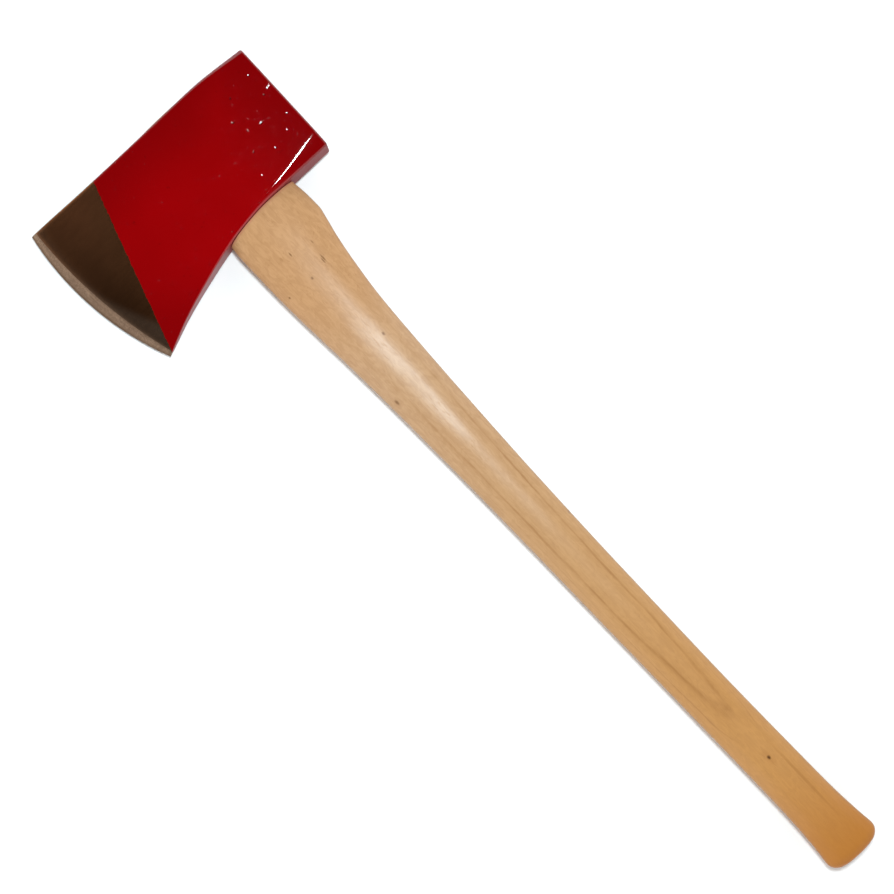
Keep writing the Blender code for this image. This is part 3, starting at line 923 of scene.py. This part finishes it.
def red_paint():
    """Thick gloss enamel: brightest in mid-cheek and darker towards the poll, the crown and the heel, with
    painted shade in the knocks and a painted pink reflection on the steep rims; chipped at the paint line.
    """
    f = Finish("red_enamel")
    x, y = f.axes["X"], f.axes["Y"]
    broad = f.noise(14.0, 2.0)
    colour = f.ramp(broad, [(0.30, (0.196, 0.0001, 0.0009)), (0.70, (0.228, 0.0001, 0.0012))])
    # Darker towards the poll, the crown and the heel.
    near_poll = f.fit(y, 0.010, 0.066)
    near_crown = f.fit(x, 0.045, 0.0, 0.0, 0.8)
    near_heel = f.fit(f.math("SUBTRACT", x, y), 0.125, 0.205, 0.0, 0.7)
    towards_rims = f.math("MAXIMUM", f.math("MAXIMUM", near_poll, near_crown), near_heel)
    colour = f.blend(f.math("MULTIPLY", towards_rims, 0.62), colour, (0.115, 0.0001, 0.0008))
    grime = f.fit(f.noise(260.0, 4.0), 0.66, 0.74)
    colour = f.blend(f.math("MULTIPLY", grime, 0.35), colour, (0.08, 0.001, 0.001))
    # Painted shade: the paint is made much darker where the knocks are deepest.
    nick = f.fit(f.add("Attribute", attribute_name="nick").outputs["Fac"], 0.10, 0.75)
    colour = f.blend(f.math("MULTIPLY", nick, 0.85), colour, (0.022, 0.001, 0.002))
    # Painted reflection: the steep rims are coloured pale pink, as the pale room would show in their gloss.
    steep = f.steepness(0.80, 0.35)
    colour = f.blend(f.math("MULTIPLY", steep, 0.62), colour, (0.185, 0.030, 0.033))
    start, end = PAINT_LINE
    along = (end - start).normalized()
    from_line = f.math("MULTIPLY", f.math("SUBTRACT", y, start.y), along.x)
    from_line = f.math("SUBTRACT", from_line, f.math("MULTIPLY", f.math("SUBTRACT", x, start.x), along.y))
    ragged = f.math("MULTIPLY_ADD", f.noise(420.0, 3.0), -1.9 * MM, from_line)
    bare = f.fit(ragged, -0.85 * MM, -0.60 * MM, 1.0, 0.0)
    colour = f.blend(bare, colour, (0.17, 0.070, 0.030))
    nibs = f.fit(f.noise(700.0, 1.0), 0.70, 0.80)
    normal = f.bump(f.noise(38.0, 2.0), 0.00012)
    normal = f.bump(f.noise(210.0, 2.0), 0.00003, normal)
    normal = f.bump(nibs, 0.00005, normal)
    roughness = f.fit(f.noise(60.0, 4.0), 0.35, 0.75, 0.055, 0.085)
    roughness = f.math("MULTIPLY_ADD", steep, 0.40, roughness)
    steep_shine = f.fit(y, 0.055, -0.040, 0.06, 0.50)
    shine = f.add("Mix", {0: steep, 2: 0.5, 3: steep_shine}).outputs[0]
    f.feed(f.surface.inputs["Specular IOR Level"], shine)
    return f.finish(colour, roughness, normal, f.math("MULTIPLY", bare, 0.9))


def from_edge(f):
    """The distance back from the cutting edge."""
    flat = f.add("CombineXYZ", {"X": f.axes["X"], "Y": f.axes["Y"]}).outputs[0]
    centre = (EDGE_CENTRE.x, EDGE_CENTRE.y, 0.0)
    reach = f.add("VectorMath", {0: flat, 1: centre}, operation="DISTANCE").outputs["Value"]
    return f.math("SUBTRACT", EDGE_RADIUS, reach)


def cheek_steel():
    """Bare forged steel, oiled and browned and rubbed along the grind, with painted reflection and shade:
    paler towards the toe, darker towards the edge and on the steep rims.
    """
    f = Finish("bare_steel")
    lines = f.noise(1.0, 5.0, 0.7, f.stretch((900.0, 55.0, 120.0)))
    bloom = f.noise(30.0, 4.0)
    # Painted reflection: paler towards the toe, darker towards the heel and towards the edge.
    colour = f.blend(f.fit(f.axes["X"], 0.0, 0.085), (0.420, 0.176, 0.078), (0.155, 0.062, 0.024))
    colour = f.blend(f.fit(f.axes["Y"], -0.088, -0.114, 0.0, 0.45), colour, (0.09, 0.045, 0.022))
    colour = f.blend(f.fit(bloom, 0.35, 0.70, 0.0, 0.30), colour, (0.20, 0.085, 0.036))
    pits = f.fit(f.noise(900.0, 2.0), 0.68, 0.78)
    colour = f.blend(f.math("MULTIPLY", pits, 0.5), colour, (0.08, 0.035, 0.018))
    rubbed = f.math("MULTIPLY_ADD", f.math("SUBTRACT", lines, 0.5), 4.0 * MM, from_edge(f))
    towards_heel = f.math("MAXIMUM", f.math("SUBTRACT", f.axes["X"], 0.060), 0.0)
    rubbed = f.math("MULTIPLY_ADD", towards_heel, -0.18, rubbed)
    rubbed = f.fit(rubbed, GRIND_WIDTH + 6.0 * MM, GRIND_WIDTH - 1.5 * MM)
    rubbed = f.math("MULTIPLY", rubbed, f.fit(f.axes["X"], 0.000, 0.080, 0.30, 0.92))
    colour = f.blend(rubbed, colour, (0.238, 0.150, 0.099))
    # Painted shade: the steep rims are made darker.
    colour = f.blend(f.math("MULTIPLY", f.steepness(0.97, 0.82), 0.90), colour, (0.052, 0.033, 0.022))
    roughness = f.math("MULTIPLY_ADD", lines, 0.08, 0.20)
    normal = f.bump(lines, 0.000003)
    return f.finish(colour, roughness, f.bump(f.noise(60.0, 3.0), 0.00008, normal), 1.0)


def ground_steel():
    """The ground bevel, with the stone's scratches running back from the edge."""
    f = Finish("ground_steel")
    scratches = f.noise(1.0, 6.0, 0.8, f.stretch((1500.0, 70.0, 200.0)))
    patches = f.noise(90.0, 4.0)
    colour = f.ramp(patches, [(0.32, (0.230, 0.151, 0.102)), (0.66, (0.282, 0.192, 0.131))])
    grain = f.noise(1100.0, 3.0, 0.7)
    colour = f.blend(f.fit(grain, 0.40, 0.62, 0.60, 0.0), colour, (0.088, 0.054, 0.034))
    colour = f.blend(f.fit(scratches, 0.35, 0.60, 0.35, 0.0), colour, (0.080, 0.050, 0.034))
    colour = f.blend(f.fit(from_edge(f), 2.4 * MM, 0.4 * MM, 0.0, 0.60), colour, (0.070, 0.042, 0.026))
    # Painted highlight: the upper part of the bevel, where it turns into the cheek, is made paler.
    colour = f.blend(f.fit(from_edge(f), 4.2 * MM, 5.8 * MM), colour, (1.28, 1.28, 1.28), "MULTIPLY")
    roughness = f.math("MULTIPLY_ADD", scratches, 0.20, 0.24)
    return f.finish(colour, roughness, f.bump(scratches, 0.00003), 1.0)


RING_SPACING = 2.9 * MM
FIGURE_HEIGHT = 11.05 * MM  # of the growth ring that shows as the long closed figure
FIGURE_TILT = 0.050  # of that ring across the haft
FIGURE_STARTS = 0.480  # to climb, from here towards the butt
FIGURE_CLIMB = 0.0132  # per metre
FIGURE_CLOSES = (0.570, 0.598)  # where it leaves the wood
FIGURE_LEAP = 1.6 * MM  # with which it leaves

# Where the varnish shines most, the pin knot is, and a dark streak runs near the butt.
BEST_VARNISH = (0.2480, 0.0040, 0.0120)
PIN_KNOT = (0.6147, 0.0013, 0.0130)
BUTT_STREAK = (0.6430, 0.0090, 0.0115)
# Flecks in the haft's upper face, as (centre, radii).
FLECKS = [
    ((0.1475, 0.0159, 0.0125), (0.0056, 0.0011, 0.004)),
    ((0.1490, 0.0146, 0.0125), (0.0044, 0.0009, 0.004)),
    ((0.1528, 0.0005, 0.0140), (0.0020, 0.0017, 0.004)),
    ((0.2149, 0.0100, 0.0125), (0.0028, 0.0018, 0.004)),
    ((0.2562, -0.0163, 0.0090), (0.0040, 0.0019, 0.005)),
    ((0.1305, 0.0008, 0.0140), (0.0032, 0.0010, 0.004)),
    ((0.1342, 0.0180, 0.0120), (0.0030, 0.0008, 0.004)),
    ((0.1515, -0.0205, 0.0100), (0.0016, 0.0014, 0.005)),
    ((0.3950, 0.0186, 0.0060), (0.0034, 0.0016, 0.008)),
]


def wood_grain(f, ring_wander=1.0):
    """(ring, fibre, pore) shares at every place in a piece of hickory whose grain runs along x."""
    x, y, z = f.axes["X"], f.axes["Y"], f.axes["Z"]
    drift = f.math("SUBTRACT", f.noise(1.0, 2.0, 0.5, f.stretch((9.0, 38.0, 38.0))), 0.5)
    wobble = f.math("SUBTRACT", f.noise(1.0, 3.0, 0.5, f.stretch((38.0, 260.0, 260.0))), 0.5)
    depth = f.math("MULTIPLY_ADD", drift, 0.8 * MM * ring_wander, z)
    depth = f.math("MULTIPLY_ADD", wobble, 0.60 * MM * ring_wander, depth)
    depth = f.math("MULTIPLY_ADD", y, FIGURE_TILT, depth)
    climb = f.math("MAXIMUM", f.math("SUBTRACT", x, FIGURE_STARTS), 0.0)
    climb = f.math("MULTIPLY_ADD", climb, FIGURE_CLIMB, f.fit(x, *FIGURE_CLOSES, 0.0, FIGURE_LEAP))
    depth = f.math("SUBTRACT", f.math("SUBTRACT", depth, climb), FIGURE_HEIGHT + 0.1 * MM)
    ring = f.ramp(
        f.math("FRACT", f.math("DIVIDE", depth, RING_SPACING)),
        [(0.0, 0.60), (0.05, 0.08), (0.45, 0.0), (0.80, 0.14), (0.96, 1.0), (1.0, 0.60)],
    )
    fibre = f.noise(1.0, 5.0, 0.65, f.stretch((26.0, 1100.0, 1100.0)))
    pore = f.fit(f.noise(1.0, 2.0, 0.5, f.stretch((120.0, 2300.0, 2300.0))), 0.62, 0.74)
    return ring, fibre, pore


def hickory():
    """Pale sanded hickory under clear varnish, yellower towards the butt, with a pin knot and flecks."""
    f = Finish("varnished_hickory")
    ring, fibre, pore = wood_grain(f)
    x, z = f.axes["X"], f.axes["Z"]
    towards_butt = f.fit(x, 0.12, 0.66)
    cloud = f.noise(1.0, 3.0, 0.5, f.stretch((14.0, 45.0, 45.0)))
    pale = f.blend(cloud, (0.418, 0.228, 0.106), (0.468, 0.266, 0.131))
    warm = f.blend(cloud, (0.420, 0.202, 0.060), (0.470, 0.235, 0.077))
    colour = f.blend(towards_butt, pale, warm)
    # Painted sheen: about the varnish's highlight the wood is made paler and bluer.
    sheen_tint = f.math("MULTIPLY", f.fit(x, 0.15, 0.25), f.fit(x, 0.64, 0.34))
    colour = f.blend(sheen_tint, colour, (1.0, 1.12, 1.34), "MULTIPLY")
    colour = f.blend(f.fit(fibre, 0.30, 0.70, 0.20, 0.0), colour, (0.28, 0.14, 0.055))
    shown = f.math("MULTIPLY", f.fit(x, 0.20, 0.36, 0.05, 0.46), f.fit(x, 0.574, 0.600, 1.0, 0.08))
    shown = f.math("MULTIPLY", shown, f.fit(z, 0.0080, 0.0104, 0.25, 1.0))
    worn = f.noise(1.0, 3.0, 0.6, f.stretch((55.0, 130.0, 130.0)))
    shown = f.math("MULTIPLY", shown, f.fit(worn, 0.30, 0.62, 0.45, 1.15))
    colour = f.blend(f.math("MULTIPLY", ring, shown), colour, (0.225, 0.092, 0.026))
    chatter = f.fit(f.noise(1.0, 4.0, 0.65, f.stretch((260.0, 420.0, 420.0)), 0.8), 0.52, 0.72)
    patch = f.fit(f.noise(1.0, 2.0, 0.5, f.stretch((50.0, 80.0, 80.0))), 0.40, 0.66)
    chatter = f.math("MULTIPLY", f.math("MULTIPLY", chatter, patch), f.fit(x, 0.13, 0.24, 0.42, 0.12))
    colour = f.blend(chatter, colour, (0.25, 0.115, 0.040))
    ripple = f.noise(1.0, 3.0, 0.55, f.stretch((95.0, 210.0, 210.0)), 1.5)
    rippled = f.math("MULTIPLY", f.fit(ripple, 0.38, 0.64, 0.22, 0.0), f.fit(x, 0.25, 0.45, 1.0, 0.6))
    colour = f.blend(rippled, colour, (0.24, 0.110, 0.040))
    # The grip goes amber towards the butt, and most of all at its rim.
    for reach, share in (((0.610, 0.740), 0.88), ((0.7030, 0.7075), 0.70)):
        colour = f.blend(f.fit(x, *reach, 0.0, share), colour, (0.350, 0.118, 0.013))
    colour = f.blend(f.math("MULTIPLY", pore, 0.28), colour, (0.25, 0.11, 0.04))
    streak = f.spot(BUTT_STREAK, (0.052, 0.0016, 0.006), 0.3)
    colour = f.blend(f.math("MULTIPLY", streak, 0.30), colour, (0.24, 0.095, 0.026))
    knot = f.spot(PIN_KNOT, (0.0026, 0.0021, 0.004), 0.5)
    halo = f.spot(PIN_KNOT, (0.0110, 0.0040, 0.006), 0.3)
    colour = f.blend(f.math("MULTIPLY", halo, 0.25), colour, (0.31, 0.125, 0.035))
    colour = f.blend(knot, colour, (0.085, 0.032, 0.010))
    for centre, radii in FLECKS:
        colour = f.blend(f.math("MULTIPLY", f.spot(centre, radii, 0.6), 0.78), colour, (0.135, 0.058, 0.018))
    stain = f.add("Attribute", attribute_name="paint_stain").outputs["Fac"]
    stain = f.math("MULTIPLY", stain, f.fit(f.noise(300.0, 3.0), 0.25, 0.6, 0.35, 1.0))
    stain = f.math("MULTIPLY", stain, f.fit(x, 0.030, 0.065))
    colour = f.blend(f.math("MULTIPLY", stain, 0.80), colour, (0.40, 0.120, 0.085))
    # The sawn end of the tongue drinks in oil.
    colour = f.blend(f.fit(x, 0.012, 0.002, 0.0, 0.60), colour, (0.200, 0.105, 0.045))
    # Painted shade: the narrow sides are made a little darker, and their varnish shines less.
    side = f.steepness(0.62, 0.12)
    colour = f.blend(f.math("MULTIPLY", side, 0.28), colour, (0.190, 0.098, 0.042))
    roughness = f.math("MULTIPLY_ADD", fibre, 0.12, 0.26)
    worn_off = f.math("MULTIPLY", f.fit(x, 0.118, 0.205, 0.45, 1.0), f.fit(x, 0.645, 0.700, 1.0, 0.5))
    gloss = f.fit(f.noise(1.0, 3.0, 0.5, f.stretch((30.0, 90.0, 90.0))), 0.35, 0.62, 0.72, 1.0)
    best = f.fit(f.spot(BEST_VARNISH, (0.075, 0.030, 0.020)), 0.0, 1.0, 0.80, 1.30)
    gloss = f.math("MULTIPLY", gloss, best)
    shine = f.math("MULTIPLY", f.math("MULTIPLY", worn_off, gloss), f.fit(side, 0.0, 1.0, 0.185, 0.10))
    f.feed(f.surface.inputs["Specular IOR Level"], shine)
    normal = f.bump(fibre, 0.00003)
    normal = f.bump(f.math("SUBTRACT", 1.0, pore), 0.00002, normal)
    return f.finish(colour, roughness, normal)


def wedge_wood():
    """Bare sawn hardwood, darkened by oil, with the saw's marks across its top."""
    f = Finish("sawn_hardwood")
    ring, fibre, pore = wood_grain(f, 0.4)
    colour = f.blend(f.noise(60.0, 3.0), (0.31, 0.185, 0.085), (0.40, 0.255, 0.125))
    colour = f.blend(f.math("MULTIPLY", ring, 0.35), colour, (0.26, 0.125, 0.045))
    colour = f.blend(f.math("MULTIPLY", pore, 0.45), colour, (0.12, 0.06, 0.025))
    saw_marks = f.noise(1.0, 3.0, 0.6, f.stretch((200.0, 1400.0, 90.0)))
    normal = f.bump(saw_marks, 0.00010)
    return f.finish(colour, f.math("MULTIPLY_ADD", fibre, 0.2, 0.5), normal)


def wedge_steel():
    """Plain hammered steel, with a little rust."""
    f = Finish("hammered_steel")
    rust = f.fit(f.noise(420.0, 5.0, 0.7), 0.52, 0.64)
    steel = f.blend(f.noise(160.0, 3.0), (0.36, 0.34, 0.32), (0.52, 0.50, 0.47))
    colour = f.blend(rust, steel, f.blend(f.noise(1500.0, 3.0), (0.13, 0.045, 0.018), (0.24, 0.095, 0.035)))
    roughness = f.math("MULTIPLY_ADD", rust, 0.45, 0.32)
    metallic = f.math("SUBTRACT", 1.0, f.math("MULTIPLY", rust, 0.85))
    return f.finish(colour, roughness, f.bump(f.noise(700.0, 4.0), 0.00012), metallic)


# ---------------------------------------- floor, light and camera


def make_floor():
    mesh = bmesh.new()
    bmesh.ops.create_grid(mesh, x_segments=8, y_segments=8, size=FLOOR_HALF_SIZE)
    data = bpy.data.meshes.new("floor")
    mesh.to_mesh(data)
    mesh.free()
    floor = new_object("floor", data)
    floor.location = (0, 0, CAD_BOX[0].z - FLOOR_DROP)
    f = Finish("pale_floor")
    colour = f.blend(f.noise(1.5, 2.0), (0.86, 0.86, 0.86), (0.90, 0.90, 0.90))
    data.materials.append(f.finish(colour, 0.9))


def make_world():
    """A room with a dark ceiling and evenly bright walls."""
    world = bpy.data.worlds.new("studio")
    world.use_nodes = True
    nodes, links = world.node_tree.nodes, world.node_tree.links
    axes = nodes.new("ShaderNodeSeparateXYZ")
    links.new(nodes.new("ShaderNodeTexCoord").outputs["Generated"], axes.inputs[0])
    upwards = nodes.new("ShaderNodeValToRGB")
    links.new(axes.outputs["Z"], upwards.inputs["Fac"])
    walls = [(0.00, 0.75), (0.25, 1.00), (0.50, 1.00), (0.66, (0.30, 0.29, 0.28))]
    ceiling = [(0.80, (0.05, 0.042, 0.035)), (0.88, (0.018, 0.010, 0.007))]
    fill_ramp(upwards, walls + ceiling)
    background = nodes["Background"]
    links.new(upwards.outputs["Color"], background.inputs["Color"])
    background.inputs["Strength"].default_value = ROOM_BRIGHTNESS
    bpy.context.scene.world = world


def make_key():
    """A small soft lamp beside the camera: it lights the crease, the specks and the middle of the haft."""
    lamp = bpy.data.lights.new("key", "AREA")
    lamp.shape = "DISK"
    lamp.size = KEY_SIZE
    lamp.energy = KEY_WATTS
    lamp.color = KEY_COLOUR
    key = new_object("key", lamp)
    aim = (KEY_TARGET - KEY_PLACE).to_track_quat("-Z", "Y").to_matrix().to_4x4()
    key.matrix_world = AXE @ Matrix.Translation(KEY_PLACE) @ aim


def make_camera():
    data = bpy.data.cameras.new("camera")
    data.sensor_width = SENSOR_WIDTH
    data.lens = SENSOR_WIDTH * CAMERA_DISTANCE / PICTURE_WIDTH
    camera = new_object("camera", data)
    turned = Matrix.Rotation(CAMERA_TURN, 4, "Z")
    camera.matrix_world = AXE @ Matrix.Translation(CAMERA_AIM + Vector((0, 0, CAMERA_DISTANCE))) @ turned
    bpy.context.scene.camera = camera


# ---------------------------------------- putting it together

AXE = axe_matrix()
WEDGE_PLACES = (EYE_Y - STEEL_WEDGE_SPACING / 2, EYE_Y + STEEL_WEDGE_SPACING / 2)
WEDGE_TURN = math.pi / 2 - STEEL_WEDGE_TURN

hammered = wedge_steel()
for piece, node, slot in (
    (make_head(red_paint(), cheek_steel(), ground_steel()), "axe_head", "red_paint"),
    (make_haft(hickory()), "haft", "hickory"),
    (make_wood_wedge(wedge_wood()), "wood_wedge", "wedge_wood"),
    (make_steel_wedge("barbed_wedge_fore", WEDGE_PLACES[0], hammered), "steel_wedge_fore", "wedge_steel"),
    (make_steel_wedge("barbed_wedge_aft", WEDGE_PLACES[1], hammered), "steel_wedge_aft", "wedge_steel"),
):
    piece.data.transform(piece.matrix_world)
    piece.matrix_world = Matrix.Identity(4)
    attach(piece, "root")
    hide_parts(node)

make_floor()
make_world()
make_key()
make_camera()
bpy.context.scene.view_settings.view_transform = "Standard"
